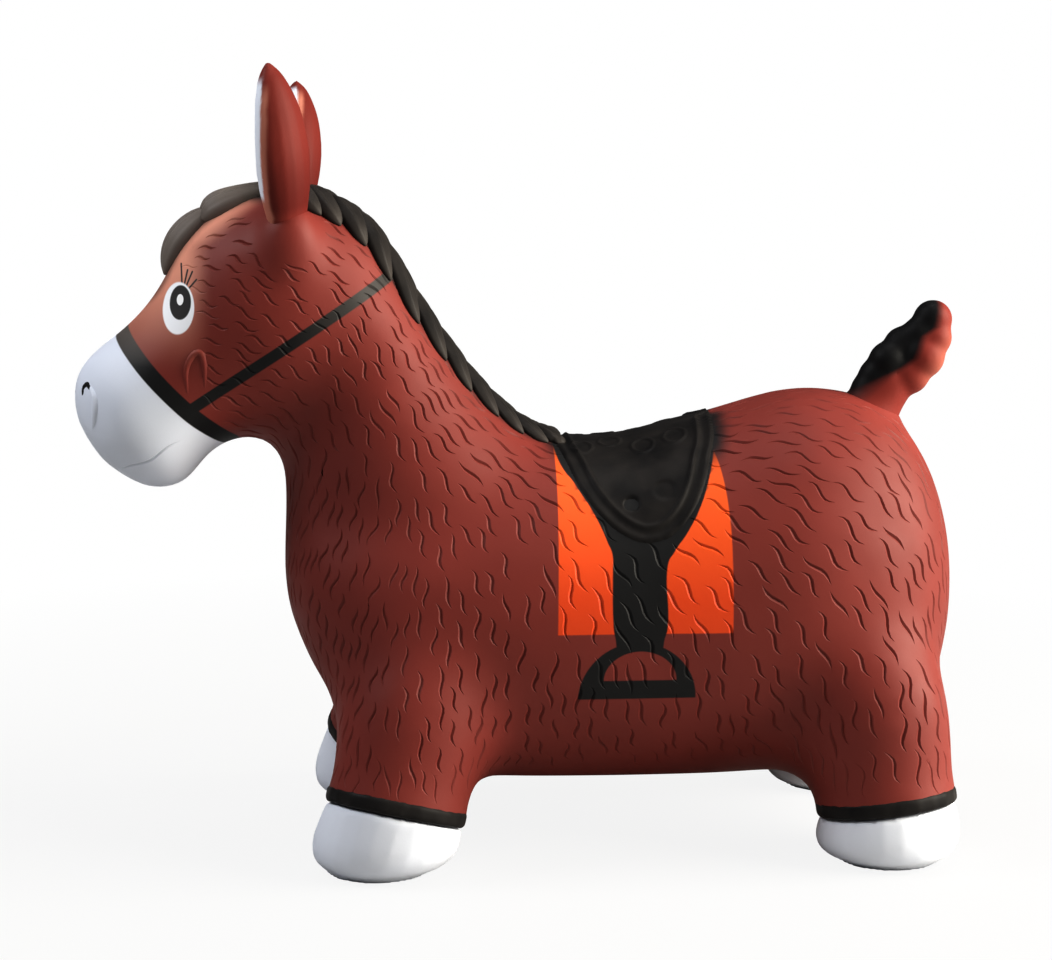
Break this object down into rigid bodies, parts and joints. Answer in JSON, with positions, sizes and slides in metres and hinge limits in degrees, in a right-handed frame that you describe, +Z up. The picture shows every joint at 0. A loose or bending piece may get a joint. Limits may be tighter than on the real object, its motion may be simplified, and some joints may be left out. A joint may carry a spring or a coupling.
{
  "type": "ride-on hopper horse",
  "caption": "Inflatable ride-on horse moulded in soft vinyl, with grip ears, a saddle relief, a lobed tail and short hooves, for a child to sit on and bounce.",
  "frame": {"origin": "on the floor, under the middle of the toy's box", "axes": "+Z up, the head towards -X, the horse's left side towards -Y"},
  "size_m": [0.6008, 0.2898, 0.5248],
  "materials": {
    "hide": "satin",
    "black": "satin",
    "white": "satin",
    "plug": "satin"
  },
  "bodies": {
    "feet": {"front_left_hoof": "white", "front_right_hoof": "white", "hind_left_hoof": "white", "hind_right_hoof": "white", "front_left_band": "black", "front_right_band": "black", "hind_left_band": "black", "hind_right_band": "black", "front_left_leg": "hide", "front_right_leg": "hide", "hind_left_leg": "hide", "hind_right_leg": "hide"},
    "trunk": {"barrel": "hide", "neck": "hide", "head": "hide", "muzzle": "white", "mane": "black", "forelock": "black", "saddle": "black", "left_ear_root": "hide", "right_ear_root": "hide", "tail_root": "hide", "valve_seat": "plug"},
    "left_ear": {"left_ear": "hide"},
    "right_ear": {"right_ear": "hide"},
    "tail": {"tail": "black"},
    "plug": {"air_plug": "plug"}
  },
  "joints": [
    {"name": "bounce", "type": "slide", "parent": "feet", "child": "trunk", "axis": [0, 0, 1], "range_m": [-0.025, 0], "stiffness_N_per_m": 6500, "springref_m": 0.0024, "deforming": ["front_left_leg", "front_right_leg", "hind_left_leg", "hind_right_leg"]},
    {"name": "left_ear_flex", "type": "hinge", "parent": "trunk", "child": "left_ear", "pos_m": [-0.15769, -0.04725, 0.43102], "axis": [0, 1, 0], "range_deg": [-25, 25], "stiffness_Nm_per_rad": 1, "deforming": ["left_ear_root"]},
    {"name": "right_ear_flex", "type": "hinge", "parent": "trunk", "child": "right_ear", "pos_m": [-0.15649, 0.04938, 0.43039], "axis": [0, 1, 0], "range_deg": [-25, 25], "stiffness_Nm_per_rad": 1, "deforming": ["right_ear_root"]},
    {"name": "tail_flex", "type": "hinge", "parent": "trunk", "child": "tail", "pos_m": [0.2509, 0, 0.29955], "axis": [0, 1, 0], "range_deg": [-20, 20], "stiffness_Nm_per_rad": 0.8, "deforming": ["tail_root"]},
    {"name": "plug_pull", "type": "slide", "parent": "trunk", "child": "plug", "axis": [1, 0, 0], "range_m": [0, 0.018]}
  ]
}
